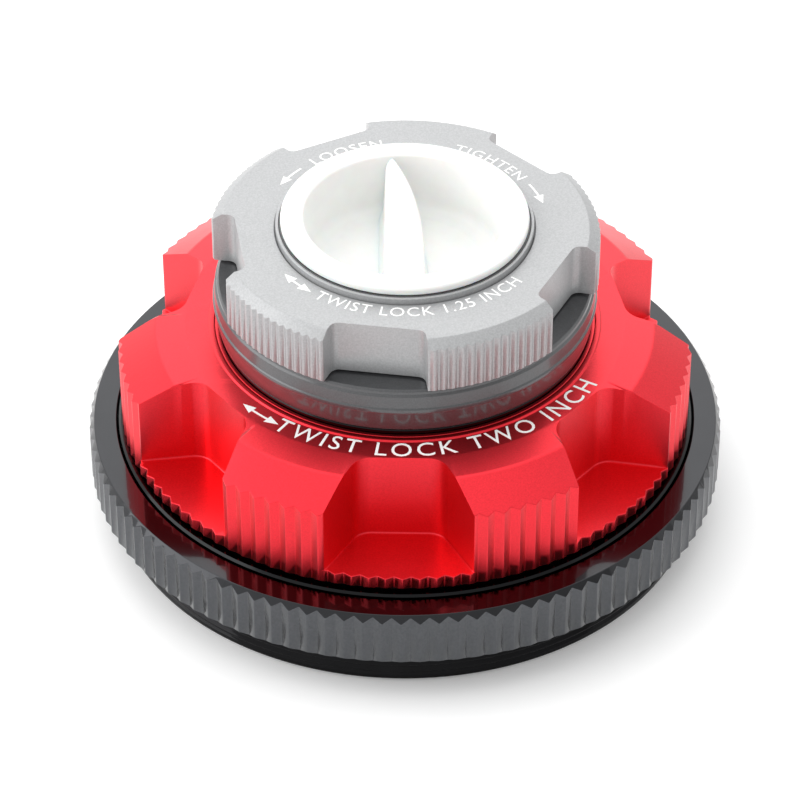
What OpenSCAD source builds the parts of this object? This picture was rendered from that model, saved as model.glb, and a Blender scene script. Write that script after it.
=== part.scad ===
// Twist-lock visual back for a telescope: a threaded adapter, a rotating 2 inch
// holder with a self-centring twist lock, a 2 inch to 1.25 inch reducer with a
// twist lock of its own, and a push-in dust cap.
// Millimetres. Z is the optical axis; z = 0 is the face that meets the telescope.

/* [Threaded adapter] */
// Crest radius of the male telescope thread
thread_r = 42.8; // [41:0.1:43.5]
// Height of the threaded spigot
thread_h = 6.26; // [5.5:0.02:7]
// Pitch of the spigot thread
thread_pitch = 1; // [0.75:0.05:1.2]
// Crest radius of the knurled grip band
knurl_r = 46.05; // [45:0.05:48]
// Height of the adapter's top face
adapter_top = 14.6; // [14:0.1:14.8]
// Number of knurl teeth
knurl_teeth = 110; // [90:2:120]
// Depth of a knurl groove
knurl_depth = 0.5; // [0.3:0.05:0.8]

/* [Large lock] */
// Radius of the 2 inch bore
large_bore_r = 25.45; // [25.42:0.01:25.5]
// Height of the holder's top rim
holder_top = 32; // [31.8:0.1:32.4]
// Outer radius of the large ring
large_ring_r = 41.2; // [40:0.1:41.4]
// Number of finger pockets in the large ring
pockets = 7; // [5:1:8]
// Distance of a pocket's back wall from the axis
pocket_wall = 31.45; // [31.3:0.05:33]
// Number of serrations around the large ring
large_teeth = 110; // [90:2:120]
// Number of clamping shoes in the large lock
large_shoes = 6; // [4:1:6]
// Twist that opens the large lock, in degrees
large_twist = 45; // [30:1:45]

/* [Reducer and small lock] */
// Radius of the 1.25 inch bore
small_bore_r = 15.93; // [15.9:0.01:15.96]
// Outer radius of the 2 inch barrel
barrel_r = 25.38; // [25.35:0.01:25.4]
// Height of the barrel's lower end
barrel_end = 12.5; // [12:0.5:18]
// Height of the reducer's top rim
reducer_top = 48.3; // [48:0.1:48.4]
// Outer radius of the small ring
small_ring_r = 27.56; // [27:0.02:28]
// Height of the small ring's top face
small_ring_top = 47.42; // [47.2:0.02:47.6]
// Number of scallops in the small ring
scallops = 5; // [3:1:6]
// Number of serrations around the small ring
small_teeth = 130; // [100:2:140]
// Number of clamping shoes in the small lock
small_shoes = 5; // [3:1:5]
// Twist that opens the small lock, in degrees
small_twist = 54; // [30:1:54]

/* [Dust cap] */
// Radius of the cap's flange
cap_r = 17.5; // [17.2:0.1:17.6]
// Height of the cap's top
cap_top = 49.5; // [49.2:0.1:50]
// Depth of the cap's plug below its flange
plug_depth = 9.2; // [7:0.1:10]

/* [Hidden] */
$fn = 96;
eps = 0.01;
run_gap = 0.05;      // running clearance between turning faces
seat_gap = 0.03;     // gap left between pieces that are seated or glued together
cam_gap = 0.04;      // gap between a shoe's nose and its cam track

// rotating joint between the adapter and the holder
flange_r = thread_r - 1.05;
socket_r = flange_r + 0.1;
ledge_top = 8;
ledge_low = 5;
tube_r = 38.4;
counterbore_r = 40.6;
flange_low = 8.36;
flange_top = 15;
tube_low = 1;
core_low = 3;
relief = 0.55;       // depth of the groove that ends the lower stretch of each bore
large_relief = [barrel_end - 1.3, barrel_end + 0.1];

// large lock, from the body outwards
sleeve_r = 27.6;
sleeve_step = 29.5;
neck_r = 26.55;
boss_r = 30.25;
boss_top = 17.3;
large_ring_low = 15.5;
large_cam_low = 17.6;
large_cam_top = 28;
large_cam_r = 28.9;
large_cam_out = 30.3;
large_travel = 0.5;
large_web_top = 30.25;
large_lip_top = 31.3;
large_lip_r = 27.3;
large_face = 31.1;
serration_top = 27.5;
pocket_floor = 17.5;
pocket_turn = -91.36;
pocket_half = 5.75;
pocket_flare = 29.5;
pocket_fillet = 3;
large_shoe_low = 19;
large_shoe_high = 26;
large_pad_w = 9.8;
large_shoe_out = 28.3;
large_cam_lead = 6;
large_keys = 3;
large_key_r = 0.5;
large_key_turn = 12;
large_stop_r = 34;
large_stop_turn = -15;
large_stop_pin_r = 1.5;
large_stop_top = 20;

// reducer and small lock
collar_low = holder_top + 0.02;
collar_top = 39;
small_ring_low = 39.3;
small_sleeve_r = 18.6;
small_step = 46.2;
small_neck_r = 17.72;
small_boss_r = 21;
small_boss_top = 40.6;
small_cam_low = 40.7;
small_cam_top = 45.5;
small_cam_r = 19.75;
small_travel = 0.4;
small_web_top = 46.85;
small_lip_r = 18.28;
scallop_wall = 23.4;
scallop_turn = -98.8;
scallop_half = 6.35;
scallop_flare = 16.5;
scallop_fillet = 1.3;
small_shoe_low = 41.6;
small_shoe_high = 44.7;
small_pad_w = 7;
small_shoe_out = 19.2;
small_cam_lead = 8;
small_key_r = 0.4;
small_key_turn = 14.4;
small_stop_r = 22.2;
small_stop_turn = 150;
small_stop_pin_r = 0.75;
small_stop_top = 43;
barrel_seat = 23.9;
web_low = 28;
plug_low = reducer_top + 0.05 - plug_depth;
small_relief = [plug_low - 1.3, plug_low + 0.05];

// wires that spring the shoes outwards: how far past the shoes' pads they lie, wire
// radius and groove radius
wire_offset = 0.34;
large_wire = 0.26;
large_groove = 0.32;
large_wire_heights = [large_shoe_low - wire_offset, large_shoe_high + wire_offset];
small_wire = 0.22;
small_groove = 0.28;
small_wire_heights = [small_shoe_low - wire_offset];

// ---- shared shapes

// A ring of rectangular section
module band(inner, outer, low, high) {
    rotate_extrude() translate([inner, low]) square([outer - inner, high - low]);
}

// A toothed outline: crests at radius r, grooves cut to r - depth
module toothed(r, teeth, depth, turn) {
    pitch = 360 / teeth;
    polygon([for (i = [0:teeth - 1])
             each [[r * cos(turn + i * pitch), r * sin(turn + i * pitch)],
                   [(r - depth) * cos(turn + (i + 0.5) * pitch),
                    (r - depth) * sin(turn + (i + 0.5) * pitch)]]]);
}

// A round shaft standing along Z
module pin(radius, low, high) {
    translate([0, 0, low]) cylinder(r = radius, h = high - low);
}

// Moves a shape out to a radius and round to an angle
module at_angle(radius, angle) {
    rotate([0, 0, angle]) translate([radius, 0, 0]) children();
}

// An open-ended recess: flat back wall, two filleted corners, walls that flare outwards.
// The back wall is at x = wall; half is half its width before the fillets.
module flared_recess(wall, half, flare, fillet, reach) {
    inner = 90 + flare;                       // angle between back wall and side wall
    tangent = fillet / tan(inner / 2);
    side = [cos(flare), sin(flare)];
    run = reach - wall;
    for (s = [-1, 1])
        translate([wall + fillet, s * (half - tangent)]) circle(r = fillet);
    polygon([[wall, -half + tangent], [wall, half - tangent],
             [wall + tangent * side.x, half + tangent * side.y],
             [reach, half + run * tan(flare)],
             [reach, -half - run * tan(flare)],
             [wall + tangent * side.x, -half - tangent * side.y]]);
}

// Radius of a cam track that falls as the angle grows, down to low_r at the lead angle
function cam_radius(low_r, rate, lead, turn) = low_r + rate * (lead - turn);

// Outline of a cam bore: as many equal spiral steps as there are shoes
module cam_outline(low_r, rate, lead, count) {
    span = 360 / count;
    steps = 30;
    polygon([for (k = [0:count - 1], i = [0:steps])
             let (turn = lead - span * (1 - i / steps),
                  r = cam_radius(low_r, rate, lead, turn))
             [r * cos(turn + k * span), r * sin(turn + k * span)]]);
}

// An arc-shaped slot for a pin that travels between two angles
module arc_slot(radius, half_w, low, high, from, to) {
    over = asin(half_w / radius);
    rotate([0, 0, from - over])
        rotate_extrude(angle = to - from + 2 * over)
            translate([radius - half_w, low]) square([2 * half_w, high - low]);
}

// A clamping shoe on the +X side: pad in the window, flange outside the sleeve, cam nose
module shoe(bore_r, sleeve, flange_out, nose_r, pad_w, low, high) {
    flange_w = pad_w + 3.2;
    nose_w = 2;
    nose_inset = 0.6;
    lip = 0.8;
    intersection() {
        band(bore_r, flange_out - eps, low + run_gap, high - run_gap);
        translate([0, -pad_w / 2 + run_gap, low]) cube([bore_r * 2, pad_w - 2 * run_gap, high - low]);
    }
    intersection() {
        band(sleeve + run_gap, flange_out, low - lip, high + lip);
        translate([0, -flange_w / 2, low - lip]) cube([bore_r * 2, flange_w, high - low + 2 * lip]);
    }
    intersection() {
        band(flange_out - 0.2, nose_r, low + nose_inset, high - nose_inset);
        translate([0, -nose_w / 2, low]) cube([bore_r * 2, nose_w, high - low]);
    }
}

// Round-bottomed grooves that the wires lie in
module wire_grooves(sleeve, groove, heights) {
    for (z = heights)
        rotate_extrude() translate([sleeve, z]) circle(r = groove);
}

// Windows for the shoes, cut through a sleeve wall
module windows(count, inner, outer, pad_w, low, high) {
    for (i = [0:count - 1])
        rotate([0, 0, i * 360 / count])
            translate([inner, -pad_w / 2, low]) cube([outer - inner, pad_w, high - low]);
}

// ---- threaded adapter

module threaded_adapter() {
    top_edge = 45.3;
    crest_top = 13.55;
    crest_drop = (adapter_top - crest_top) / (knurl_r - top_edge);
    groove = 0.45;
    turns = 4;
    first = 1.5;
    color("#202124")
    difference() {
        union() {
            rotate_extrude()
                polygon([[counterbore_r, 0], [thread_r - 0.5, 0], [thread_r, 0.5],
                         [thread_r, thread_h + 1], [counterbore_r, thread_h + 1]]);
            intersection() {
                translate([0, 0, thread_h])
                    linear_extrude(adapter_top - thread_h)
                        toothed(knurl_r, knurl_teeth, knurl_depth, -90.8);
                rotate_extrude()
                    polygon([[tube_r, thread_h], [knurl_r - 0.35, thread_h],
                             [knurl_r + 1, thread_h + 1.35],
                             [knurl_r + 1, crest_top - crest_drop],
                             [top_edge, adapter_top],
                             [tube_r, adapter_top]]);
            }
            band(tube_r + run_gap, thread_r - 1, ledge_low, ledge_top);
        }
        pin(socket_r, ledge_top, adapter_top + 1);
        pin(tube_r + run_gap, -1, adapter_top);
        pin(counterbore_r, -1, ledge_low);
        rotate_extrude()
            for (i = [0:turns - 1]) {
                z = first + i * thread_pitch;
                polygon([[thread_r + eps, z - groove], [thread_r + eps, z + groove],
                         [thread_r - groove, z]]);
            }
    }
}

// ---- 2 inch holder

module holder_body() {
    slot_w = 1.6;
    end_thread = 0.2;
    color("#1b1c1e")
    difference() {
        rotate_extrude()
            polygon([[large_bore_r + 0.6, core_low], [sleeve_r, core_low],
                     [sleeve_r + 0.4, 11.5], [35.6, 11.5], [36, tube_low],
                     [tube_r, tube_low], [tube_r, flange_low], [flange_r, flange_low],
                     [flange_r, flange_top - 0.3], [flange_r - 0.3, flange_top],
                     [boss_r, flange_top], [boss_r, boss_top], [sleeve_r, boss_top],
                     [sleeve_r, sleeve_step], [neck_r, sleeve_step],
                     [neck_r, holder_top - 0.2], [neck_r - 0.2, holder_top],
                     [large_bore_r + 0.3, holder_top], [large_bore_r, holder_top - 0.3],
                     [large_bore_r, large_relief[1]],
                     [large_bore_r + relief, large_relief[1]],
                     [large_bore_r + relief, large_relief[0]],
                     [large_bore_r, large_relief[0]],
                     [large_bore_r, core_low + 0.6]]);
        windows(large_shoes, large_bore_r - 2, sleeve_r + 1, large_pad_w,
                large_shoe_low, large_shoe_high);
        wire_grooves(sleeve_r, large_groove, large_wire_heights);
        arc_slot(large_stop_r, slot_w, flange_top - 2, flange_top + 1,
                 large_stop_turn, large_stop_turn + large_twist);
        // short thread at the end of the tube
        rotate_extrude()
            for (i = [0:2]) {
                z = 1.6 + i * 0.6;
                polygon([[tube_r + eps, z - end_thread], [tube_r + eps, z + end_thread],
                         [tube_r - end_thread, z]]);
            }
    }
}

module rotation_washer() {
    color("ivory") band(tube_r + 0.2, flange_r - 0.15, ledge_top + 0.02, flange_low - 0.02);
}

module holder_retaining_ring() {
    notch_w = 3;
    color("#2a2b2d")
    difference() {
        band(tube_r + seat_gap, counterbore_r - 0.1, 3.3, ledge_low - run_gap);
        for (a = [0, 90])
            rotate([0, 0, a])
                translate([-counterbore_r, -notch_w / 2, 3]) cube([2 * counterbore_r, notch_w, 0.9]);
    }
}

// ---- large lock

module large_lock_ring() {
    color("#d3141f")
    difference() {
        intersection() {
            translate([0, 0, large_ring_low])
                linear_extrude(large_lip_top - large_ring_low)
                    toothed(large_ring_r, large_teeth, 0.55, -90.6);
            rotate_extrude()
                polygon([[neck_r, large_ring_low], [large_ring_r - 0.35, large_ring_low],
                         [large_ring_r + 1, large_ring_low + 1.35],
                         [large_ring_r + 1, serration_top - 0.56],
                         [35.7, 30.6], [31.5, large_face],
                         [28.15, large_face], [27.95, large_lip_top], [neck_r, large_lip_top]]);
        }
        translate([0, 0, pocket_floor])
            linear_extrude(large_lip_top)
                for (i = [0:pockets - 1])
                    rotate([0, 0, pocket_turn + i * 360 / pockets])
                        flared_recess(pocket_wall, pocket_half, pocket_flare,
                                      pocket_fillet, large_ring_r + 3);
        pin(boss_r + run_gap, large_ring_low - 1, boss_top + 0.2);
        pin(large_cam_out + seat_gap, boss_top, large_cam_top + 0.2);
        pin(sleeve_r + run_gap, large_cam_top, sleeve_step + run_gap);
        pin(neck_r + 0.15, sleeve_step, large_lip_top + 1);
        pin(large_lip_r, large_web_top, large_lip_top + 1);
        at_angle(large_stop_r, large_stop_turn)
            pin(large_stop_pin_r + seat_gap, large_ring_low - 1, large_stop_top);
        cam_key_holes(large_cam_out, large_key_r, large_cam_low, large_cam_top,
                      large_key_turn, large_keys);
    }
}

// Holes for the round keys that stop a cam insert from turning in its ring
module cam_key_holes(radius, key_r, low, high, turn, count) {
    for (i = [0:count - 1])
        at_angle(radius, turn + i * 360 / count) pin(key_r + seat_gap, low - 1, high - 0.3);
}

module cam_keys(radius, key_r, low, high, turn, count) {
    for (i = [0:count - 1])
        at_angle(radius, turn + i * 360 / count) pin(key_r, low + 0.3, high - 0.35);
}

module large_cam_ring() {
    $fn = 240;
    color("#b9a26a")
    difference() {
        band(large_cam_r - 1, large_cam_out, large_cam_low, large_cam_top);
        translate([0, 0, large_cam_low - 1])
            linear_extrude(large_cam_top - large_cam_low + 2)
                cam_outline(large_cam_r, large_travel / large_twist, large_cam_lead, large_shoes);
        cam_key_holes(large_cam_out, large_key_r, large_cam_low, large_cam_top,
                      large_key_turn, large_keys);
    }
}

module large_cam_keys() {
    color("silver")
        cam_keys(large_cam_out, large_key_r, large_cam_low, large_cam_top,
                 large_key_turn, large_keys);
}

module large_stop_pin() {
    color("silver")
        at_angle(large_stop_r, large_stop_turn)
            pin(large_stop_pin_r, flange_top - 1.8, large_stop_top - 0.1);
}

module large_glide_washer() {
    inner = 36.2;
    outer = 40.2;
    color("#111214") band(inner, outer, flange_top + 0.02, large_ring_low - 0.02);
}

module large_retainer() {
    outer = large_lip_r - 0.08;
    color("#c4121c")
    rotate_extrude()
        polygon([[neck_r + seat_gap, large_web_top + run_gap], [outer, large_web_top + run_gap],
                 [outer, large_lip_top - 0.1], [outer - 0.1, large_lip_top],
                 [neck_r + 0.15, large_lip_top], [neck_r + seat_gap, large_lip_top - 0.12]]);
}

// Two C-shaped wires that spring the shoes outwards as the lock opens
module expander(radius, wire, heights) {
    gap_half = 8;
    for (z = heights)
        rotate([0, 0, 30 + gap_half])
            rotate_extrude(angle = 360 - 2 * gap_half)
                translate([radius, z]) circle(r = wire, $fn = 24);
}

module large_expander() {
    color("silver")
        expander(sleeve_r - 0.02, large_wire, large_wire_heights);
}

module large_shoe(i) {
    color("#e8dcb8")
    rotate([0, 0, i * 360 / large_shoes])
    difference() {
        shoe(large_bore_r, sleeve_r, large_shoe_out,
             cam_radius(large_cam_r, large_travel / large_twist, large_cam_lead, 0) - cam_gap,
             large_pad_w, large_shoe_low, large_shoe_high);
        wire_grooves(sleeve_r, large_groove, large_wire_heights);
    }
}

// ---- reducer

module reducer_body() {
    core_end = 26;
    color("#55565a")
    difference() {
        rotate_extrude()
            polygon([[small_bore_r + 0.5, core_end], [small_sleeve_r, core_end],
                     [small_sleeve_r, web_low], [barrel_seat, web_low],
                     [barrel_seat, collar_low],
                     [26.46, collar_low], [26.76, collar_low + 0.3],
                     [27.26, 35.6], [27.39, 35.95], [27.39, 36.16], [27.25, 36.35],
                     [27.1, 38.2], [26.75, 38.5], [26.75, 38.75], [26.5, collar_top],
                     [small_boss_r, collar_top], [small_boss_r, small_boss_top],
                     [small_sleeve_r, small_boss_top], [small_sleeve_r, small_step],
                     [small_neck_r, small_step], [small_neck_r, reducer_top - 0.15],
                     [small_neck_r - 0.15, reducer_top], [small_bore_r + 0.3, reducer_top],
                     [small_bore_r, reducer_top - 0.3], [small_bore_r, small_relief[1]],
                     [small_bore_r + relief, small_relief[1]],
                     [small_bore_r + relief, small_relief[0]],
                     [small_bore_r, small_relief[0]], [small_bore_r, core_end + 0.5]]);
        windows(small_shoes, small_bore_r - 2, small_sleeve_r + 1, small_pad_w,
                small_shoe_low, small_shoe_high);
        wire_grooves(small_sleeve_r, small_groove, small_wire_heights);
        arc_slot(small_stop_r, small_stop_pin_r + 0.1, collar_top - 1.6, collar_top + 1,
                 small_stop_turn, small_stop_turn + small_twist);
    }
}

module reducer_barrel() {
    wall = 1.45;
    thread = 0.3;
    lip_r = 20;
    color("#1e1f21")
    difference() {
        rotate_extrude()
            polygon([[barrel_r - wall, barrel_end], [barrel_r - 0.4, barrel_end],
                     [barrel_r, barrel_end + 0.4], [barrel_r, collar_low - seat_gap],
                     [barrel_seat + seat_gap, collar_low - seat_gap],
                     [barrel_seat + seat_gap, web_low - seat_gap],
                     [lip_r, web_low - seat_gap], [lip_r, web_low - 1],
                     [barrel_r - wall, web_low - 2]]);
        rotate_extrude()
            for (i = [0:5]) {
                z = barrel_end + 0.9 + i * 0.75;
                polygon([[barrel_r - wall - eps, z - thread], [barrel_r - wall + thread, z],
                         [barrel_r - wall - eps, z + thread]]);
            }
    }
}

// ---- small lock

module small_lock_ring() {
    color("#bfc1c3")
    difference() {
        intersection() {
            translate([0, 0, small_ring_low])
                linear_extrude(small_ring_top - small_ring_low)
                    toothed(small_ring_r, small_teeth, 0.3, -90);
            rotate_extrude()
                polygon([[small_neck_r, small_ring_low], [small_ring_r - 0.2, small_ring_low],
                         [small_ring_r + 0.5, small_ring_low + 0.7],
                         [small_ring_r + 0.5, 45.95],
                         [25.97, small_ring_top], [small_neck_r, small_ring_top]]);
        }
        translate([0, 0, small_ring_low - 1])
            linear_extrude(small_ring_top)
                for (i = [0:scallops - 1])
                    rotate([0, 0, scallop_turn + i * 360 / scallops])
                        flared_recess(scallop_wall, scallop_half, scallop_flare,
                                      scallop_fillet, small_ring_r + 3);
        pin(small_boss_r + run_gap, small_ring_low - 1, small_cam_top + 0.1);
        pin(small_sleeve_r + run_gap, small_cam_top, small_step + run_gap);
        pin(small_neck_r + 0.13, small_step, small_ring_top + 1);
        pin(small_lip_r, small_web_top, small_ring_top + 1);
        at_angle(small_stop_r, small_stop_turn)
            pin(small_stop_pin_r + seat_gap, small_ring_low - 1, small_stop_top);
        cam_key_holes(small_boss_r, small_key_r, small_cam_low, small_cam_top,
                      small_key_turn, small_shoes);
    }
}

module small_cam_ring() {
    $fn = 240;
    color("#b9a26a")
    difference() {
        band(small_cam_r - 1, small_boss_r + run_gap - seat_gap, small_cam_low, small_cam_top);
        translate([0, 0, small_cam_low - 1])
            linear_extrude(small_cam_top - small_cam_low + 2)
                cam_outline(small_cam_r, small_travel / small_twist, small_cam_lead, small_shoes);
        cam_key_holes(small_boss_r, small_key_r, small_cam_low, small_cam_top,
                      small_key_turn, small_shoes);
    }
}

module small_cam_keys() {
    color("silver")
        cam_keys(small_boss_r, small_key_r, small_cam_low, small_cam_top,
                 small_key_turn, small_shoes);
}

module small_stop_pin() {
    color("silver")
        at_angle(small_stop_r, small_stop_turn)
            pin(small_stop_pin_r, collar_top - 1.4, small_stop_top - 0.1);
}

module small_retainer() {
    outer = small_lip_r - 0.06;
    color("#b4b6b8")
    rotate_extrude()
        polygon([[small_neck_r + seat_gap, small_web_top + run_gap],
                 [outer, small_web_top + run_gap], [outer, reducer_top - 0.12],
                 [outer - 0.12, reducer_top], [small_neck_r + 0.15, reducer_top],
                 [small_neck_r + seat_gap, reducer_top - 0.12]]);
}

module small_expander() {
    color("silver") expander(small_sleeve_r - 0.02, small_wire, small_wire_heights);
}

module small_shoe(i) {
    color("#e8dcb8")
    rotate([0, 0, i * 360 / small_shoes])
    difference() {
        shoe(small_bore_r, small_sleeve_r, small_shoe_out,
             cam_radius(small_cam_r, small_travel / small_twist, small_cam_lead, 0) - cam_gap,
             small_pad_w, small_shoe_low, small_shoe_high);
        wire_grooves(small_sleeve_r, small_groove, small_wire_heights);
    }
}

// ---- dust cap

module dust_cap() {
    plug_r = 15.85;
    flange_low = plug_low + plug_depth;
    dish_r = 14.2;
    floor_t = 1.3;
    edge = 0.55;
    grip_top = cap_top - 0.5;
    grip_side = 2.7;
    grip_sweep = 4.3;
    color("white") {
        difference() {
            union() {
                rotate_extrude() {
                    polygon([[0, plug_low], [plug_r - 0.6, plug_low], [plug_r, plug_low + 0.6],
                             [plug_r, flange_low], [cap_r, flange_low], [cap_r, cap_top - edge],
                             [cap_r - edge, cap_top], [0, cap_top]]);
                    translate([cap_r - edge, cap_top - edge]) circle(r = edge);
                }
            }
            rotate_extrude()
                polygon([[0, plug_low + floor_t], [dish_r - 2.4, plug_low + floor_t],
                         [dish_r - 1.1, plug_low + floor_t + 0.5],
                         [dish_r - 0.5, plug_low + floor_t + 1.9],
                         [dish_r, cap_top - 0.6], [dish_r + 0.5, cap_top + eps],
                         [0, cap_top + eps]]);
        }
        // finger grip across the dish: one straight side, one that sweeps over near its end
        intersection() {
            pin(dish_r - 0.2, plug_low + 0.4, grip_top);
            translate([0, 0, plug_low])
                linear_extrude(plug_depth + 2)
                    polygon([[-grip_side, dish_r], [-grip_side, -dish_r],
                             for (t = [0:0.1:1])
                             [grip_side - grip_sweep * pow(t, 3), dish_r * (2 * t - 1)]]);
        }
    }
}

threaded_adapter();
holder_body();
rotation_washer();
holder_retaining_ring();
large_lock_ring();
large_cam_ring();
large_cam_keys();
large_stop_pin();
large_glide_washer();
large_retainer();
large_expander();
large_shoe(0);  // large_shoe_1
large_shoe(1);  // large_shoe_2
large_shoe(2);  // large_shoe_3
large_shoe(3);  // large_shoe_4
large_shoe(4);  // large_shoe_5
large_shoe(5);  // large_shoe_6
reducer_body();
reducer_barrel();
small_lock_ring();
small_cam_ring();
small_cam_keys();
small_stop_pin();
small_retainer();
small_expander();
small_shoe(0);  // small_shoe_1
small_shoe(1);  // small_shoe_2
small_shoe(2);  // small_shoe_3
small_shoe(3);  // small_shoe_4
small_shoe(4);  // small_shoe_5
dust_cap();
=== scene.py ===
import math

import bmesh
import bpy
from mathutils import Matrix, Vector


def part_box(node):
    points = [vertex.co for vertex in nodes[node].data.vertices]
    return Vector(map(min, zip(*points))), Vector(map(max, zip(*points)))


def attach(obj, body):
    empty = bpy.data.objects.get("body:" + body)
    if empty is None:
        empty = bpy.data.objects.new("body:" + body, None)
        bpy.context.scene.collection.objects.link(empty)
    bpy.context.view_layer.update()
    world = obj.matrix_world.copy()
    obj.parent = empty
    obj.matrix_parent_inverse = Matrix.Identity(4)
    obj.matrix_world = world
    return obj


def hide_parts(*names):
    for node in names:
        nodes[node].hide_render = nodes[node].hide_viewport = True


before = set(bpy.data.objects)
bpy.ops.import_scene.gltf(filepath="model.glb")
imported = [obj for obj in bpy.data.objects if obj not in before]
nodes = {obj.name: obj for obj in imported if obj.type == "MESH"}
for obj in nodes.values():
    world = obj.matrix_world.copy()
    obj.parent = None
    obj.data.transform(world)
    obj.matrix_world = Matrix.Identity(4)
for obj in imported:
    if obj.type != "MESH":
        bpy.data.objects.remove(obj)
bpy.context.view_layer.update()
mm = 0.001
print("frame loaded:", len(nodes), "nodes")


# mesh helpers; points are in millimetres until the mesh is made

def polar(radius, angle, z):
    return Vector((radius * math.cos(angle), radius * math.sin(angle), z))


def wrapAngle(angle):
    return (angle + math.pi) % math.tau - math.pi


def boxInMm(node):
    low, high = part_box(node)
    return low / mm, high / mm


def roundCorners(points, radii, steps):
    # each corner of the closed path becomes a small arc; a corner with no room for one is repeated
    path = []
    for i, corner in enumerate(points):
        toLast = points[i - 1] - corner
        toNext = points[(i + 1) % len(points)] - corner
        room = 0.45 * min(toLast.length, toNext.length)
        half = toLast.angle(toNext, math.pi) / 2
        if radii[i] <= 0 or room < 2e-3 or half > 1.55 or half < 0.05:
            path += [corner.copy() for _ in range(steps + 1)]
            continue
        toLast.normalize()
        toNext.normalize()
        tangent = min(radii[i] / math.tan(half), room)
        centre = corner + (toLast + toNext).normalized() * (tangent / math.cos(half))
        start = corner + toLast * tangent - centre
        end = corner + toNext * tangent - centre
        sweep = start.angle(end)
        for k in range(steps + 1):
            t = k / steps
            path.append(centre + (start * math.sin((1 - t) * sweep) + end * math.sin(t * sweep))
                        / math.sin(sweep))
    return path


def makeObject(name, points, faces, sharpAngle=40):
    # welds points that coincide, then weights the normals so that flat faces stay flat
    mesh = bpy.data.meshes.new(name)
    mesh.from_pydata([p * mm for p in points], [], faces)
    obj = bpy.data.objects.new(name, mesh)
    bpy.context.scene.collection.objects.link(obj)
    bm = bmesh.new()
    bm.from_mesh(mesh)
    bmesh.ops.remove_doubles(bm, verts=bm.verts, dist=2e-6)
    bmesh.ops.dissolve_degenerate(bm, edges=bm.edges, dist=2e-6)
    bmesh.ops.recalc_face_normals(bm, faces=bm.faces)
    bm.to_mesh(mesh)
    bm.free()
    mesh.polygons.foreach_set("use_smooth", [True] * len(mesh.polygons))
    mesh.set_sharp_from_angle(angle=math.radians(sharpAngle))
    weighted = obj.modifiers.new("flat faces stay flat", "WEIGHTED_NORMAL")
    weighted.keep_sharp = True
    return obj


def loftColumns(name, columns, sharpAngle=40, wrap=True):
    # a ring-shaped solid from closed sections, one at each angle, all with the same point count
    count, size = len(columns), len(columns[0])
    faces = []
    for i in range(count if wrap else count - 1):
        here, there = i * size, ((i + 1) % count) * size
        for j in range(size):
            k = (j + 1) % size
            faces.append((here + j, there + j, there + k, here + k))
    return makeObject(name, [p for column in columns for p in column], faces, sharpAngle)


def section(angle, profile, steps=3):
    # profile: corners (radius, z, fillet) of a closed section, stood up at one angle
    return roundCorners([polar(r, angle, z) for r, z, _ in profile],
                        [fillet for _, _, fillet in profile], steps)


def lathe(name, profile, segments=256, steps=4):
    return loftColumns(name, [section(math.tau * i / segments, profile, steps)
                              for i in range(segments)])


def toothAngles(rim):
    # the angles at which a toothed rim has a vertex: four to each tooth
    pitch = math.tau / rim["teeth"]
    marks = (-rim["crestFlat"], rim["crestFlat"], 0.5 - rim["grooveFlat"], 0.5 + rim["grooveFlat"])
    return [math.radians(rim["turn"]) + (i + m) * pitch for i in range(rim["teeth"]) for m in marks]


def rimRadius(rim, angle):
    share = ((angle - math.radians(rim["turn"])) * rim["teeth"] / math.tau + 0.5) % 1 - 0.5
    slope = (abs(share) - rim["crestFlat"]) / (0.5 - rim["crestFlat"] - rim["grooveFlat"])
    return rim["crest"] - rim["depth"] * min(max(slope, 0), 1)


def recessPath(recess):
    # half of a flared recess in plan, from its middle out to the end of its fillet
    inner = math.pi / 2 + math.radians(recess["flare"])
    tangent = recess["fillet"] / math.tan(inner / 2)
    path = [(recess["wall"], 0.0)]
    for k in range(recess["steps"] + 1):
        turn = (math.pi - inner) * k / recess["steps"]
        path.append((recess["wall"] + recess["fillet"] * (1 - math.cos(turn)),
                     recess["half"] - tangent + recess["fillet"] * math.sin(turn)))
    return path


def recessEnd(rim, recess, centre, side):
    # how far from the recess's middle its side wall meets the toothed rim, as an angle
    low, high = 0.02, math.pi / recess["count"]
    for _ in range(40):
        middle = (low + high) / 2
        r = rimRadius(rim, centre + side * middle)
        across = recess["half"] + (r * math.cos(middle) - recess["wall"]) \
            * math.tan(math.radians(recess["flare"]))
        low, high = (middle, high) if r * math.sin(middle) < across else (low, middle)
    return low


def pathPoint(path, lengths, distance):
    k = next((i for i in range(1, len(path)) if lengths[i] >= distance - 1e-4), len(path) - 1)
    t = min(max((distance - lengths[k - 1]) / (lengths[k] - lengths[k - 1]), 0), 1)
    return [path[k - 1][a] + t * (path[k][a] - path[k - 1][a]) for a in (0, 1)]


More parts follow.
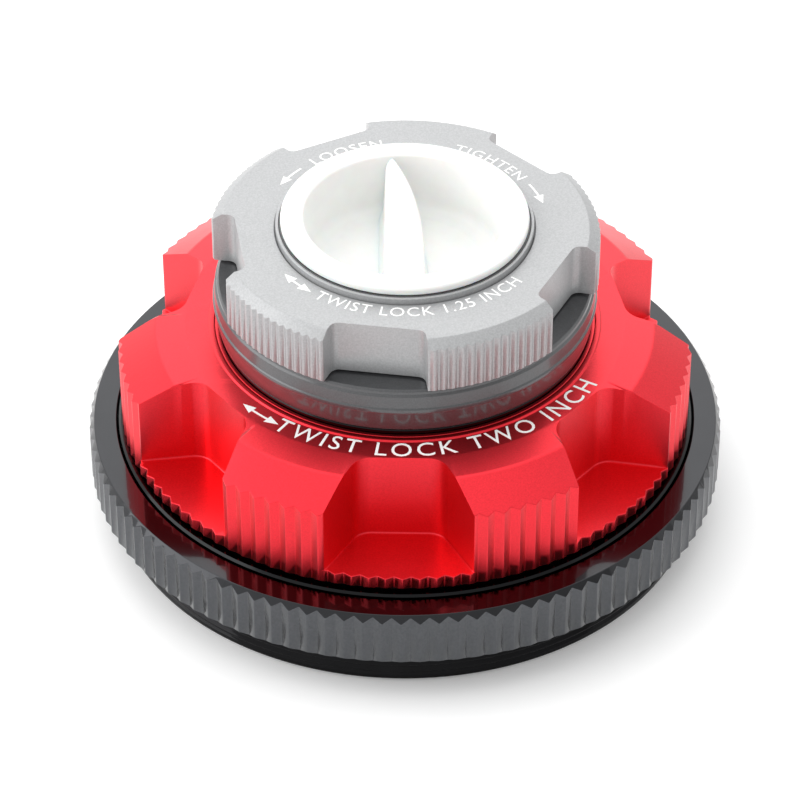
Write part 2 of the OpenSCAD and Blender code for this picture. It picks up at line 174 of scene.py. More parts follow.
def recessedRim(rim, recess):
    # (rim point, wall point) pairs in plan, all the way round; on the lobes the two are the same
    teeth = toothAngles(rim)
    edge = recess["edge"]
    ease = edge / rim["crest"]
    pairs, spans = [], []
    for i in range(recess["count"]):
        centre = math.radians(recess["turn"]) + i * math.tau / recess["count"]
        left, right = (recessEnd(rim, recess, centre, side) for side in (-1, 1))
        spans.append((centre, left + ease, right + ease))
        half = recessPath(recess)
        ends = [polar(rimRadius(rim, centre + a), a, 0) for a in (-left, right)]
        path = [tuple(ends[0].xy)] + [(x, -y) for x, y in reversed(half[1:])] + half \
            + [tuple(ends[1].xy)]
        lengths = [0.0]
        for p, q in zip(path, path[1:]):
            lengths.append(lengths[-1] + math.dist(p, q))
        total = lengths[-1]
        shares = {round(d / total, 5) for d in lengths + [edge, total - edge]}
        for angle in teeth:
            share = (wrapAngle(angle - centre) + left) / (left + right)
            if 0.002 < share < 0.998:
                shares.add(round(share, 5))
        for share in sorted(shares):
            angle = centre - left + share * (left + right)
            x, y = pathPoint(path, lengths, share * total)
            radius = math.hypot(x, y) - (0.35 * edge if share in (0.0, 1.0) else 0)
            pairs.append((angle, polar(rimRadius(rim, angle), angle, 0),
                          polar(radius, centre + math.atan2(y, x), 0)))
    lobes = [a for a in teeth
             if all(not -left < wrapAngle(a - centre) < right for centre, left, right in spans)]
    for centre, left, right in spans:
        lobes += [centre - left, centre + right]
    for angle in lobes:
        point = polar(rimRadius(rim, angle), angle, 0)
        pairs.append((angle, point, point))
    pairs.sort(key=lambda pair: pair[0] % math.tau)
    return [(rimPoint, wallPoint) for _, rimPoint, wallPoint in pairs]


def atHeight(point, z, radius=None):
    # a plan point lifted to z, moved in or out to a radius if one is given
    flat = point.xy if radius is None else point.xy.normalized() * radius
    return Vector((flat.x, flat.y, z))


# material helpers

def fromHex(text):
    # sRGB hex to linear colour
    values = [int(text[i:i + 2], 16) / 255 for i in (1, 3, 5)]
    return [v / 12.92 if v <= 0.04045 else ((v + 0.055) / 1.055) ** 2.4 for v in values] + [1.0]


def addNode(material, kind, settings=None, links=None):
    # settings: socket or property values; links: socket name to (node, output name)
    tree = material.node_tree
    node = tree.nodes.new("ShaderNode" + kind)
    for key, value in (settings or {}).items():
        if key in node.inputs:
            node.inputs[key].default_value = value
        else:
            setattr(node, key, value)
    for key, (source, output) in (links or {}).items():
        tree.links.new(source.outputs[output], node.inputs[key])
    return node


def newMaterial(name, shader):
    material = bpy.data.materials.new(name)
    material.use_nodes = True
    principled = material.node_tree.nodes["Principled BSDF"]
    for key, value in shader.items():
        principled.inputs[key].default_value = value
    return material, principled


def link(material, source, output, target, socket):
    material.node_tree.links.new(source.outputs[output], target.inputs[socket])


def objectPoint(material):
    return addNode(material, "TexCoord"), "Object"


def spread(material, source, output, low, high):
    # a 0 to 1 value mapped to a range
    return addNode(material, "MapRange", {"To Min": low, "To Max": high}, {"Value": (source, output)})


def tint(material, factor, output, dark, light):
    ramp = addNode(material, "ValToRGB", None, {"Fac": (factor, output)})
    ramp.color_ramp.elements[0].color = fromHex(dark)
    ramp.color_ramp.elements[1].color = fromHex(light)
    return ramp


# threaded adapter

def makeAdapter():
    low, high = boxInMm("threaded_adapter")
    rim = {"crest": high.y, "depth": 0.5, "teeth": 110, "turn": -90.8,
           "crestFlat": 0.03, "grooveFlat": 0.02}
    size = {"bore": 40.6, "ledge": 38.45, "ledgeLow": 5.0, "ledgeTop": 8.0, "socket": 41.85,
            "spigot": 42.8, "band": 6.26, "bandEdge": 45.7, "topEdge": 45.3, "topSlope": 1.4,
            "threadLow": 0.7, "threadTurns": 5, "pitch": 1.0, "threadDepth": 0.42}
    top = high.z
    threadTop = size["threadLow"] + size["threadTurns"] * size["pitch"]

    def threadPoints(angle):  # one helix cut through this section, fading out at both ends
        points = [(size["spigot"], size["threadLow"], 0)]
        for k in range(size["threadTurns"] + 1):
            z = size["threadLow"] + size["pitch"] * (k + angle / math.tau)
            z = min(z, threadTop)
            fade = min(1, (z - size["threadLow"]) / size["pitch"], (threadTop - z) / size["pitch"])
            depth = size["threadDepth"] * max(fade, 0)
            points += [(size["spigot"], z - depth, 0.05), (size["spigot"] - depth, z, 0.05),
                       (size["spigot"], z + depth, 0.05)]
        return points + [(size["spigot"], threadTop, 0)]

    columns = []
    angles = sorted(a % math.tau for a in toothAngles(rim))
    for angle in [0.0] + angles + [math.tau]:
        r = rimRadius(rim, angle)
        profile = [(size["bore"], low.z, 0.2), (size["spigot"] - 0.5, low.z, 0.12),
                   (size["spigot"], low.z + 0.5, 0.12)]
        profile += threadPoints(angle)
        profile += [(size["spigot"], size["band"], 0.1),
                    (min(r, size["bandEdge"]), size["band"], 0.06),
                    (r, size["band"] + max(0, r - size["bandEdge"]), 0.06),
                    (r, top - size["topSlope"] * (r - size["topEdge"]), 0.08),
                    (size["topEdge"], top, 0.15), (size["socket"] + 0.3, top, 0.12),
                    (size["socket"], top - 0.3, 0.05), (size["socket"], size["ledgeTop"], 0),
                    (size["ledge"], size["ledgeTop"], 0.1), (size["ledge"], size["ledgeLow"], 0.1),
                    (size["bore"], size["ledgeLow"], 0)]
        columns.append(section(angle, profile))
    piece = loftColumns("adapterWithKnurledGrip", columns, 20, wrap=False)
    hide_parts("threaded_adapter")
    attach(piece, "telescope_adapter")
    return piece


# large lock ring

def makeLargeRing():
    low, high = boxInMm("large_lock_ring")
    rim = {"crest": 41.2, "depth": 0.55, "teeth": 110, "turn": -90.6,
           "crestFlat": 0.03, "grooveFlat": 0.03}
    recess = {"wall": 31.45, "half": 5.75, "flare": 29.5, "fillet": 3.0, "count": 7,
              "turn": -91.36, "steps": 8, "edge": 0.28}
    size = {"floor": 17.5, "serrationTop": 27.5, "shoulder": 35.7, "shoulderTop": 30.6,
            "face": 31.5, "lipFoot": 28.15, "lip": 27.95, "counterbore": 27.3,
            "neck": 26.7, "journal": 27.65, "cavity": 30.33, "bottomEdge": 40.85}
    faceTop = high.z - 0.2
    slope = (size["shoulderTop"] - size["serrationTop"]) / (rim["crest"] - size["shoulder"])
    rise = (faceTop - size["shoulderTop"]) / (size["shoulder"] - size["face"])

    def topAt(r):
        if r > size["shoulder"]:
            return size["shoulderTop"] - slope * (r - size["shoulder"])
        return min(size["shoulderTop"] + rise * (size["shoulder"] - r), faceTop)

    columns = []
    for rimPoint, wallPoint in recessedRim(rim, recess):
        rimR, wallR = rimPoint.length, wallPoint.length
        shoulderR, faceR = min(wallR, size["shoulder"]), min(wallR, size["face"])
        corners = [
            (atHeight(rimPoint, low.z, size["cavity"]), 0.1),
            (atHeight(rimPoint, low.z, min(rimR, size["bottomEdge"])), 0.08),
            (atHeight(rimPoint, low.z + max(0, rimR - size["bottomEdge"])), 0.08),
            (atHeight(rimPoint, size["floor"]), 0.12),
            (atHeight(wallPoint, size["floor"]), 0.35),
            (atHeight(wallPoint, topAt(wallR)), 0.16),
            (atHeight(wallPoint, topAt(shoulderR), shoulderR), 1.6),
            (atHeight(wallPoint, topAt(faceR), faceR), 1.6),
            (atHeight(rimPoint, faceTop, size["lipFoot"]), 0.12),
            (atHeight(rimPoint, high.z, size["lip"]), 0.1),
            (atHeight(rimPoint, high.z, size["counterbore"]), 0.1),
            (atHeight(rimPoint, 30.25, size["counterbore"]), 0),
            (atHeight(rimPoint, 30.25, size["neck"]), 0.05),
            (atHeight(rimPoint, 29.55, size["neck"]), 0.05),
            (atHeight(rimPoint, 29.55, size["journal"]), 0),
            (atHeight(rimPoint, 28.2, size["journal"]), 0.1),
            (atHeight(rimPoint, 28.2, size["cavity"]), 0)]
        columns.append(roundCorners([p for p, _ in corners], [f for _, f in corners], 3))
    piece = loftColumns("largeRingWithPockets", columns, 25)
    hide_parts("large_lock_ring")
    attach(piece, "large_lock")
    return piece


def makeLargeRetainer():
    low, high = boxInMm("large_retainer")
    inner, outer = 26.6, high.x
    piece = lathe("largeRetainer", [(inner, low.z, 0.05), (outer, low.z, 0.05),
                                    (outer, high.z, 0.1), (inner, high.z, 0.12)])
    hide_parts("large_retainer")
    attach(piece, "holder")
    return piece


# small lock ring

def makeSmallRing():
    low, high = boxInMm("small_lock_ring")
    rim = {"crest": 27.56, "depth": 0.3, "teeth": 130, "turn": -90.0,
           "crestFlat": 0.08, "grooveFlat": 0.08}
    recess = {"wall": 23.4, "half": 6.35, "flare": 16.5, "fillet": 1.3, "count": 5,
              "turn": -98.8, "steps": 6, "edge": 0.25}
    size = {"topEdge": 25.97, "chamferLow": 46.3, "bottomEdge": 27.36, "cavity": 21.05,
            "counterbore": 18.3, "neck": 17.85, "journal": 18.65}
    slope = (high.z - size["chamferLow"]) / (rim["crest"] - size["topEdge"])
    columns = []
    for _, wallPoint in recessedRim(rim, recess):
        wallR = wallPoint.length
        corners = [
            (size["cavity"], low.z, 0.1), (min(wallR, size["bottomEdge"]), low.z, 0.1),
            (wallR, low.z + max(0, wallR - size["bottomEdge"]), 0.08),
            (wallR, high.z - slope * max(0, wallR - size["topEdge"]), 0.14),
            (min(wallR, size["topEdge"]), high.z, 0.4),
            (size["counterbore"] + 0.15, high.z, 0.1), (size["counterbore"], high.z - 0.15, 0.05),
            (size["counterbore"], 46.85, 0), (size["neck"], 46.85, 0.05),
            (size["neck"], 46.25, 0.05), (size["journal"], 46.25, 0), (size["journal"], 45.6, 0.05),
            (size["cavity"], 45.6, 0)]
        columns.append(roundCorners([atHeight(wallPoint, z, r) for r, z, _ in corners],
                                    [f for _, _, f in corners], 3))
    piece = loftColumns("smallRingWithScallops", columns, 25)
    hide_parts("small_lock_ring")
    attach(piece, "small_lock")
    return piece


def makeSmallRetainer():
    low, high = boxInMm("small_retainer")
    inner, outer = 17.75, high.x
    piece = lathe("smallRetainer", [(inner, low.z, 0.05), (outer, low.z, 0.05),
                                    (outer, high.z, 0.12), (inner, high.z, 0.12)])
    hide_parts("small_retainer")
    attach(piece, "reducer")
    return piece


# reducer collar

def makeReducer():
    low, high = boxInMm("reducer_body")
    size = {"bore": 15.93, "sleeve": 18.6, "neck": 17.72, "seat": 23.9, "boss": 21.0,
            "web": 28.0, "foot": 32.02, "collarTop": 39.0, "windows": 5, "windowWidth": 7.0,
            "windowLow": 41.6, "windowHigh": 44.7, "reliefLow": 37.85, "reliefHigh": 39.2,
            "relief": 0.55}
    piece = lathe("reducerCollar", [
        (size["bore"] + 0.5, low.z, 0.1), (size["sleeve"], low.z, 0.15),
        (size["sleeve"], size["web"], 0.3), (size["seat"], size["web"], 0.05),
        (size["seat"], size["foot"], 0.05), (26.5, size["foot"], 0.1), (26.76, 32.3, 0.15),
        (27.3, 35.35, 0.2), (27.39, 35.6, 0.12), (27.39, 36.1, 0.12), (27.2, 36.3, 0.12),
        (27.05, 38.1, 0.15), (26.75, 38.35, 0.12), (26.7, 38.75, 0.15),
        (26.45, size["collarTop"], 0.12), (size["boss"], size["collarTop"], 0),
        (size["boss"], 40.6, 0.1), (size["sleeve"], 40.6, 0), (size["sleeve"], 46.2, 0.05),
        (size["neck"], 46.2, 0), (size["neck"], high.z, 0.15), (size["bore"] + 0.3, high.z, 0.12),
        (size["bore"], high.z - 0.3, 0.1), (size["bore"], size["reliefHigh"], 0.05),
        (size["bore"] + size["relief"], size["reliefHigh"], 0.05),
        (size["bore"] + size["relief"], size["reliefLow"], 0.05),
        (size["bore"], size["reliefLow"], 0.05), (size["bore"], low.z + 0.5, 0.1)])
    cutWindows(piece, size)
    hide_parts("reducer_body")
    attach(piece, "reducer")
    return piece


def cutWindows(piece, size):
    # openings that the clamping shoes slide through
    points, faces = [], []
    for i in range(size["windows"]):
        angle = math.tau * i / size["windows"]
        outward = Vector((math.cos(angle), math.sin(angle), 0))
        sideways = Vector((-math.sin(angle), math.cos(angle), 0)) * size["windowWidth"] / 2
        first = len(points)
        for z in (size["windowLow"], size["windowHigh"]):
            for r, s in ((12, -1), (20, -1), (20, 1), (12, 1)):
                points.append(outward * r + sideways * s + Vector((0, 0, z)))
        faces += [[first + v for v in face] for face in
                  ((0, 3, 2, 1), (4, 5, 6, 7), (0, 1, 5, 4), (1, 2, 6, 5), (2, 3, 7, 6), (3, 0, 4, 7))]
    cutter = makeObject("windowCutter", points, faces)
    cut = piece.modifiers.new("windows", "BOOLEAN")
    cut.object, cut.operation, cut.solver = cutter, "DIFFERENCE", "EXACT"
    piece.modifiers.move(1, 0)
    bpy.context.view_layer.update()
    evaluated = piece.evaluated_get(bpy.context.evaluated_depsgraph_get())
    piece.data = bpy.data.meshes.new_from_object(evaluated)
    piece.modifiers.clear()
    bpy.data.objects.remove(cutter)


# dust cap

def makeDustCap():
    low, high = boxInMm("dust_cap")
    size = {"plug": 15.85, "flange": high.x, "flangeLow": 48.35, "dish": 14.25, "dishFoot": 13.6,
            "floor": low.z + 1.3, "gripTop": high.z - 0.45, "gripSide": 2.7, "gripSweep": 4.3,
            "gripSections": 36}
    cap = lathe("capShell", [
        (0, low.z, 0), (size["plug"] - 0.7, low.z, 0.5), (size["plug"], low.z + 0.7, 0.5),
        (size["plug"], size["flangeLow"], 0.1), (size["flange"] - 0.1, size["flangeLow"], 0.12),
        (size["flange"], size["flangeLow"] + 0.15, 0.12), (size["flange"], high.z, 0.6),
        (size["dish"], high.z, 0.4), (size["dishFoot"], size["floor"] + 1.2, 1.6),
        (size["dishFoot"] - 1.8, size["floor"], 2.2), (0, size["floor"], 0)], steps=6)
    sections = []
    for i in range(size["gripSections"] + 1):
        along = i / size["gripSections"]
        y = 14.4 * (2 * along - 1)
        right = size["gripSide"] - size["gripSweep"] * along ** 3
        left, foot, top = -size["gripSide"], size["floor"], size["gripTop"]
        corners = [(left - 1.3, foot - 0.4, 0), (left - 0.4, foot + 0.8, 1.5),
                   (left, top - 1.1, 1.6), (left + 0.7, top - 0.15, 1.0), (right - 0.3, top, 0.3),
                   (right, top - 0.3, 0.3), (right + 0.3, foot + 1.0, 1.2),
                   (right + 1.2, foot - 0.4, 0)]
        sections.append(roundCorners([Vector((x, y, z)) for x, z, _ in corners],
                                     [f for _, _, f in corners], 4))
    grip = loftColumns("capGrip", sections, wrap=False)
    capEnds(grip)
    cap.name = "dustCapWithGrip"
    joinInto(cap, grip)
    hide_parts("dust_cap")
    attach(cap, "dust_cap")
    return cap


def capEnds(piece):
    # closes the open ends of a loft
    bm = bmesh.new()
    bm.from_mesh(piece.data)
    bmesh.ops.holes_fill(bm, edges=[e for e in bm.edges if e.is_boundary], sides=0)
    bmesh.ops.recalc_face_normals(bm, faces=bm.faces)
    bm.to_mesh(piece.data)
    bm.free()


def joinInto(target, other):
    bm = bmesh.new()
    bm.from_mesh(target.data)
    bm.from_mesh(other.data)
    bm.to_mesh(target.data)
    bm.free()
    target.data.polygons.foreach_set("use_smooth", [True] * len(target.data.polygons))
    target.data.set_sharp_from_angle(angle=math.radians(50))
    bpy.data.objects.remove(other)


# printed marks

def bendOntoRing(name, points, faces, mark):
    # flat artwork bent round the axis: front marks are read from the front, rear ones over the top
    bent = []
    for p in points:
        if mark["front"]:
            angle = math.radians(mark["angle"]) + p.x / mark["radius"]
            radius = mark["radius"] - p.y
        else:
            angle = math.radians(mark["angle"]) - p.x / mark["radius"]
            radius = mark["radius"] + p.y
        bent.append(polar(radius, angle, mark["height"] + p.z))
    piece = makeObject(name, bent, faces, 30)
    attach(piece, mark["body"])
    piece.data.materials.append(mark["ink"])
    return piece


def printWords(name, words, mark):
    text = bpy.data.curves.new(name + "Text", "FONT")
    text.body = words
    text.size = mark["size"]
    text.space_character = mark["spacing"]
    text.align_x = "CENTER"
    text.extrude = mark["film"]
    text.offset = mark["bold"]
    text.resolution_u = 4
    holder = bpy.data.objects.new(name + "Text", text)
    bpy.context.scene.collection.objects.link(holder)
    bpy.context.view_layer.update()
    mesh = holder.evaluated_get(bpy.context.evaluated_depsgraph_get()).to_mesh()
    points = [v.co.copy() for v in mesh.vertices]
    faces = [tuple(p.vertices) for p in mesh.polygons]
    bpy.data.objects.remove(holder)
    return bendOntoRing(name, points, faces, mark)


def printArrow(name, mark, length, direction):
    # a bar that follows the ring, with a pointed head
    bar, head, headLength, steps = 0.16, 0.75, 2.0, 12
    film = mark["film"]
    outline = [(length * i / steps * direction, bar) for i in range(steps + 1)]
    outline += [(length * direction, head), ((length + headLength) * direction, 0),
                (length * direction, -head)]
    outline += [(length * (steps - i) / steps * direction, -bar) for i in range(steps + 1)]
    count = len(outline)
    points = [Vector((x, y, z)) for z in (-film, film) for x, y in outline]
    faces = [(i, (i + 1) % count, (i + 1) % count + count, i + count) for i in range(count)]
    tip = steps + 2
    for base in (0, count):
        for i in range(steps):
            faces.append((base + i, base + i + 1, base + count - 2 - i, base + count - 1 - i))
        faces.append((base + steps + 1, base + tip, base + tip + 1))
    return bendOntoRing(name, points, faces, mark)


# materials

def anodisedBlasted(name, look):
    # anodised aluminium, bead-blasted first: an even satin grain with soft, wide highlights
    material, shader = newMaterial(name, {
        "Metallic": look["metallic"], "Roughness": look["roughness"], "Coat Weight": look["coat"],
        "Coat Roughness": look["coatRoughness"], "Coat IOR": look["oxideIor"]})
    place = objectPoint(material)
    grain = addNode(material, "TexNoise", {"Scale": 1 / (look["grainMm"] * mm), "Detail": 3.0,
                                           "Roughness": 0.6}, {"Vector": place})
    cloud = addNode(material, "TexNoise", {"Scale": 1 / (look["cloudMm"] * mm), "Detail": 2.0},
                    {"Vector": place})
    colour = tint(material, grain, "Fac", look["dark"], look["light"])
    colour.color_ramp.elements[0].position, colour.color_ramp.elements[1].position = 0.3, 0.7
    link(material, colour, "Color", shader, "Base Color")
    rough = spread(material, cloud, "Fac", look["roughness"] - 0.05, look["roughness"] + 0.05)
    link(material, rough, "Result", shader, "Roughness")
    bump = addNode(material, "Bump", {"Strength": look["bump"], "Distance": look["depthMm"] * mm},
                   {"Height": (grain, "Fac")})
    link(material, bump, "Normal", shader, "Normal")
    return material


def turned(name, look):
    # lathe-turned surface: fine rings round the axis, on flat faces and on walls alike
    material, shader = newMaterial(name, {
        "Metallic": look["metallic"], "Roughness": look["roughness"], "Coat Weight": look["coat"],
        "Coat Roughness": look["coatRoughness"]})
    place = objectPoint(material)
    split = addNode(material, "SeparateXYZ", None, {"Vector": place})
    flat = addNode(material, "CombineXYZ", None, {"X": (split, "X"), "Y": (split, "Y")})
    radius = addNode(material, "VectorMath", {"operation": "LENGTH"}, {"Vector": (flat, "Vector")})
    along = addNode(material, "Math", {"operation": "ADD"}, {0: (radius, "Value"), 1: (split, "Z")})
    rings = addNode(material, "TexNoise", {"noise_dimensions": "1D", "Scale": 1 / (look["feedMm"] * mm),
                                           "Detail": 2.0}, {"W": (along, "Value")})
    cloud = addNode(material, "TexNoise", {"Scale": 1 / (6 * mm), "Detail": 3.0}, {"Vector": place})
    colour = tint(material, cloud, "Fac", look["dark"], look["light"])
    link(material, colour, "Color", shader, "Base Color")
    rough = spread(material, rings, "Fac", look["roughness"] - 0.04, look["roughness"] + 0.06)
    link(material, rough, "Result", shader, "Roughness")
    bump = addNode(material, "Bump", {"Strength": look["bump"], "Distance": look["depthMm"] * mm},
                   {"Height": (rings, "Fac")})
    link(material, bump, "Normal", shader, "Normal")
    return material


def mouldedPlastic(name, look):
    # injection-moulded plastic: a soft sheen with the faint ripple of the mould
    material, shader = newMaterial(name, {"IOR": look["ior"], "Roughness": look["roughness"],
                                          "Subsurface Weight": look["glow"], "Subsurface Scale": 2 * mm})
    place = objectPoint(material)
    ripple = addNode(material, "TexNoise", {"Scale": 1 / (look["rippleMm"] * mm), "Detail": 4.0},
                     {"Vector": place})
    colour = tint(material, ripple, "Fac", look["dark"], look["light"])
    link(material, colour, "Color", shader, "Base Color")
    rough = spread(material, ripple, "Fac", look["roughness"] - 0.06, look["roughness"] + 0.06)
    link(material, rough, "Result", shader, "Roughness")
    bump = addNode(material, "Bump", {"Strength": look["bump"], "Distance": 0.02 * mm},
                   {"Height": (ripple, "Fac")})
    link(material, bump, "Normal", shader, "Normal")
    return material


# grain of 80 grit beads is about 0.1 mm; drawn at 0.22 mm, so that it still shows
redAnodised = anodisedBlasted("redAnodisedAluminium", {
    "dark": "#DA1022", "light": "#EC1B2E", "metallic": 1.0, "roughness": 0.36, "coat": 0.5,
    "coatRoughness": 0.34,
    "oxideIor": 1.6, "grainMm": 0.22, "cloudMm": 5, "bump": 0.35, "depthMm": 0.02})
silverAnodised = anodisedBlasted("naturalAnodisedAluminium", {
    "dark": "#A0A1A2", "light": "#B3B4B5", "metallic": 0.35, "roughness": 0.4, "coat": 0.2,
    "coatRoughness": 0.4,
    "oxideIor": 1.6, "grainMm": 0.25, "cloudMm": 5, "bump": 0.4, "depthMm": 0.02})
greyAnodised = anodisedBlasted("darkGreyAnodisedAluminium", {
    "dark": "#404143", "light": "#4C4D4F", "metallic": 0.3, "roughness": 0.32, "coat": 0.6,
    "coatRoughness": 0.12,
    "oxideIor": 1.6, "grainMm": 0.22, "cloudMm": 4, "bump": 0.25, "depthMm": 0.02})
# lathe feed of about 0.1 mm a turn, drawn at 0.15 mm
blackAnodised = turned("blackAnodisedAluminium", {
    "dark": "#212225", "light": "#2A2B2E", "metallic": 1.0, "roughness": 0.14, "coat": 0.6,
    "coatRoughness": 0.05, "feedMm": 0.15, "bump": 0.12, "depthMm": 0.01})
# the cutter leaves the knurl duller and greyer than the turned faces
blackKnurl = anodisedBlasted("blackAnodisedKnurling", {
    "dark": "#434548", "light": "#505255", "metallic": 1.0, "roughness": 0.2, "coat": 0.3,
    "coatRoughness": 0.1, "oxideIor": 1.6, "grainMm": 0.35, "cloudMm": 3, "bump": 0.1,
    "depthMm": 0.01})
# painted shade: a near-black copy of the black anodising for the thread, standing in for the shadowed floor
# it reflects under the knurled band
blackThreadPaintedShade = turned("blackAnodisedThreadPaintedShade", {
    "dark": "#0D0D0E", "light": "#141416", "metallic": 1.0, "roughness": 0.12, "coat": 0.2,
    "coatRoughness": 0.04, "feedMm": 0.15, "bump": 0.1, "depthMm": 0.01})
# the holder shows only in the shadowed gap under the large ring; this darker copy of the black anodising
# paints that shade into its colour
holderPaintedShade = turned("blackAnodisedPaintedShade", {
    "dark": "#131415", "light": "#191A1C", "metallic": 1.0, "roughness": 0.2, "coat": 0.25,
    "coatRoughness": 0.1, "feedMm": 0.15, "bump": 0.12, "depthMm": 0.01})
brassTurned = turned("turnedBrass", {
    "dark": "#C29A4B", "light": "#D9B566", "metallic": 1.0, "roughness": 0.26, "coat": 0.0,
    "coatRoughness": 0.1, "feedMm": 0.15, "bump": 0.3, "depthMm": 0.01})
steelGround = turned("groundSteel", {
    "dark": "#A6A8AA", "light": "#BDBFC1", "metallic": 1.0, "roughness": 0.24, "coat": 0.0,
    "coatRoughness": 0.1, "feedMm": 0.1, "bump": 0.2, "depthMm": 0.01})
springWire = turned("drawnSpringSteel", {
    "dark": "#8D8F92", "light": "#A7A9AC", "metallic": 1.0, "roughness": 0.3, "coat": 0.0,
    "coatRoughness": 0.1, "feedMm": 0.12, "bump": 0.15, "depthMm": 0.01})
acetalTurned = turned("turnedAcetal", {
    "dark": "#E4DAC2", "light": "#EFE7D3", "metallic": 0.0, "roughness": 0.42, "coat": 0.0,
    "coatRoughness": 0.3, "feedMm": 0.15, "bump": 0.25, "depthMm": 0.01})
blackPtfe = mouldedPlastic("blackFilledPtfe", {
    "dark": "#141416", "light": "#1D1E20", "ior": 1.38, "roughness": 0.6, "glow": 0.0,
    "rippleMm": 0.6, "bump": 0.3})
whitePlastic = mouldedPlastic("mouldedWhitePolyethylene", {
    "dark": "#F0F0EE", "light": "#F8F8F6", "ior": 1.5, "roughness": 0.38, "glow": 0.25,
    "rippleMm": 2.5, "bump": 0.3})
whiteInk = mouldedPlastic("whiteScreenInk", {
    "dark": "#F2F2F0", "light": "#FFFFFF", "ior": 1.5, "roughness": 0.5, "glow": 0.0,
    "rippleMm": 0.5, "bump": 0.2})
print("materials made")


# build the pieces

def markBands(piece):
    # the toothed band takes the second finish; the thread below it takes the third, a near-black copy that
    # paints in shade
    band = {"inner": 45.0, "low": 6.3, "high": 14.2, "steepest": 0.5}
    for face in piece.data.polygons:
        middle = face.center / mm
        if middle.z < band["low"]:
            face.material_index = 2
        elif middle.xy.length > band["inner"] and middle.z < band["high"] \
                and abs(face.normal.z) < band["steepest"]:
            face.material_index = 1


for piece, finish in ((makeAdapter(), blackAnodised), (makeLargeRing(), redAnodised),
                      (makeLargeRetainer(), redAnodised), (makeSmallRing(), silverAnodised),
                      (makeSmallRetainer(), silverAnodised), (makeReducer(), greyAnodised),
                      (makeDustCap(), whitePlastic)):
    piece.data.materials.clear()
    piece.data.materials.append(finish)
    if finish == blackAnodised:
        piece.data.materials.append(blackKnurl)
        # the third material paints shade onto the thread
        piece.data.materials.append(blackThreadPaintedShade)
        markBands(piece)
print("visible pieces built")

keptNodes = {
    # the holder body takes the darker copy, painted shade for the gap
    holderPaintedShade: ["holder_body"],
    blackAnodised: ["holder_retaining_ring", "reducer_barrel"],
    acetalTurned: ["rotation_washer"] + [f"large_shoe_{i}" for i in range(1, 7)]
    + [f"small_shoe_{i}" for i in range(1, 6)],
    blackPtfe: ["large_glide_washer"],
    brassTurned: ["large_cam_ring", "small_cam_ring"],
    steelGround: ["large_cam_keys", "large_stop_pin", "small_cam_keys", "small_stop_pin"],
    springWire: ["large_expander", "small_expander"]}
for finish, names in keptNodes.items():
    for name in names:
        nodes[name].data.materials.clear()
        nodes[name].data.materials.append(finish)

# angles are measured from +X, turning towards +Y; the front of the object is at -90
largeMark = {"body": "large_lock", "ink": whiteInk, "height": 31.1, "film": 0.025, "spacing": 1.36,
             "bold": 0.0, "size": 4.0}
smallMark = {"body": "small_lock", "ink": whiteInk, "height": boxInMm("small_lock_ring")[1].z,
             "film": 0.025, "spacing": 1.25, "bold": 0.0, "size": 2.8}
printWords("largeFrontWords", "TWIST LOCK TWO INCH",
           dict(largeMark, front=True, angle=-78.0, radius=31.1, spacing=1.2))
printWords("smallFrontWords", "TWIST LOCK 1.25 INCH",
           dict(smallMark, front=True, angle=-83.0, radius=20.9, spacing=1.1))
for mark, label, angle, radius, length in ((largeMark, "large", -132.5, 29.9, 1.4),
                                           (smallMark, "small", -138.0, 20.1, 0.8)):
    for way in (-1, 1):
        printArrow(label + ("LeftArrow", "RightArrow")[way > 0],
                   dict(mark, front=True, angle=angle, radius=radius), length, way)
rearArrow = {"length": 3.0, "gap": 22, "outward": 0.9}
for mark, label, radius, letters in ((largeMark, "large", 28.6, 3.6), (smallMark, "small", 19.4, 2.6)):
    for word, angle, way in (("LOOSEN", 115, -1), ("TIGHTEN", 51, 1)):
        printWords(label + word.title(), word,
                   dict(mark, front=False, angle=angle, radius=radius, size=letters, spacing=1.15))
        printArrow(label + word.title() + "Arrow",
                   dict(mark, front=False, angle=angle - way * rearArrow["gap"],
                        radius=radius + rearArrow["outward"]), rearArrow["length"], way)
print("marks printed")


# floor, lights and camera

def makeFloor():
    floor = bpy.data.meshes.new("floor")
    half = 4.0
    floor.from_pydata([(-half, -half, 0), (half, -half, 0), (half, half, 0), (-half, half, 0)], [],
                      [(0, 1, 2, 3)])
    obj = bpy.data.objects.new("floor", floor)
    bpy.context.scene.collection.objects.link(obj)
    obj.location.z = -0.0002
    material, shader = newMaterial("litWhitePaper", {"Roughness": 0.8, "Emission Strength": 0.12})
    fibre = addNode(material, "TexNoise", {"Scale": 400.0, "Detail": 4.0}, {"Vector": objectPoint(material)})
    link(material, tint(material, fibre, "Fac", "#F7F7F7", "#FCFCFC"), "Color", shader, "Base Color")
    floor.materials.append(material)


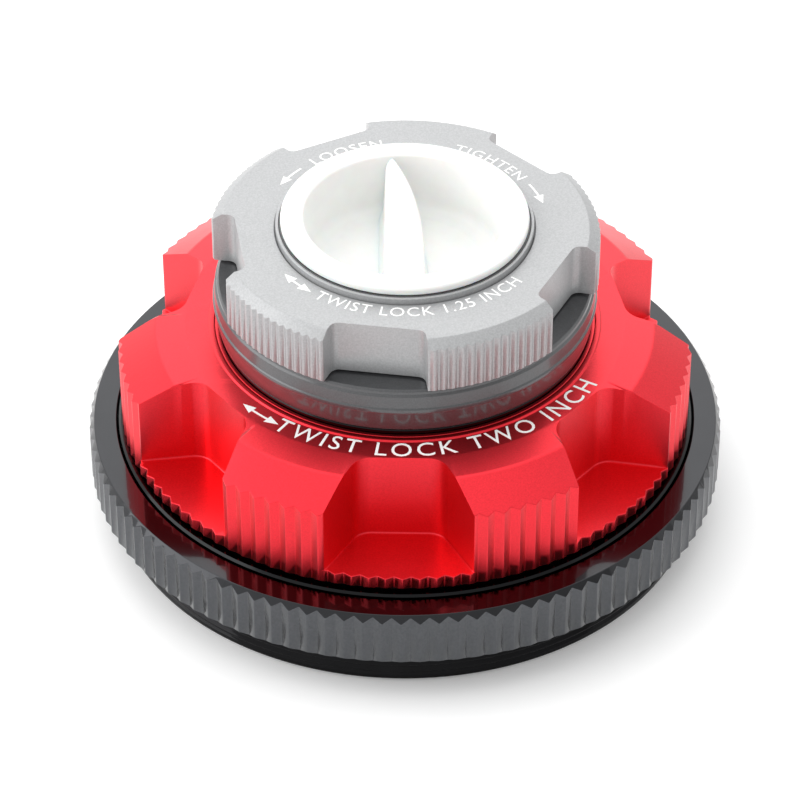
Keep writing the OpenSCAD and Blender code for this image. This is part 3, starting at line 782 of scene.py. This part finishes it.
def areaLight(name, place, aim, size, watts, colour="#FFFFFF"):
    data = bpy.data.lights.new(name, "AREA")
    data.shape, data.size, data.size_y = "RECTANGLE", size[0], size[1]
    data.energy = watts
    data.color = fromHex(colour)[:3]
    lamp = bpy.data.objects.new(name, data)
    bpy.context.scene.collection.objects.link(lamp)
    lamp.location = place
    lamp.rotation_mode = "QUATERNION"
    lamp.rotation_quaternion = (Vector(aim) - Vector(place)).to_track_quat("-Z", "Y")


studio = {"dim": 0.5, "bright": 1.35, "brightSide": (-0.8, 0.5, 0.33), "top": 0.9, "left": 1.8,
          "right": 0.3, "back": 0.9}
makeFloor()
areaLight("topSoftbox", (0, 0.15, 0.75), (0, 0, 0.02), (0.7, 0.6), studio["top"])
areaLight("leftSoftbox", (-0.6, -0.05, 0.35), (0, 0, 0.02), (0.5, 0.5), studio["left"])
areaLight("rightSoftbox", (0.6, 0.0, 0.35), (0, 0, 0.02), (0.5, 0.5), studio["right"])
areaLight("backSoftbox", (0, 0.6, 0.5), (0, 0, 0.02), (0.8, 0.4), studio["back"])

# the room is brighter towards the left and the back
world = bpy.data.worlds.new("studio")
world.use_nodes = True
direction = addNode(world, "TexCoord")
towards = addNode(world, "VectorMath", {"operation": "DOT_PRODUCT"}, {0: (direction, "Generated")})
towards.inputs[1].default_value = studio["brightSide"]
glow = spread(world, towards, "Value", studio["dim"], studio["bright"])
glow.inputs["From Min"].default_value = -1
background = world.node_tree.nodes["Background"]
background.inputs["Color"].default_value = (1, 1, 1, 1)
link(world, glow, "Result", background, "Strength")
bpy.context.scene.world = world
bpy.context.scene.view_settings.view_transform = "Standard"

# the camera stands in front, 39 degrees up, with a long lens
view = {"distance": 0.54537, "elevation": 38.926, "lens": 168.21, "roll": -0.116,
        "target": (-0.000726, 0, 0.015885)}
up = math.radians(view["elevation"])
cameraData = bpy.data.cameras.new("camera")
cameraData.lens, cameraData.sensor_width = view["lens"], 36
cameraData.clip_start, cameraData.clip_end = 0.05, 20
camera = bpy.data.objects.new("camera", cameraData)
bpy.context.scene.collection.objects.link(camera)
back = Vector((0, -math.cos(up), math.sin(up)))
camera.location = Vector(view["target"]) + back * view["distance"]
camera.rotation_mode = "QUATERNION"
camera.rotation_quaternion = (-back).to_track_quat("-Z", "Y")
camera.rotation_mode = "XYZ"
camera.rotation_euler.rotate_axis("Z", math.radians(view["roll"]))
bpy.context.scene.camera = camera
print("studio ready")
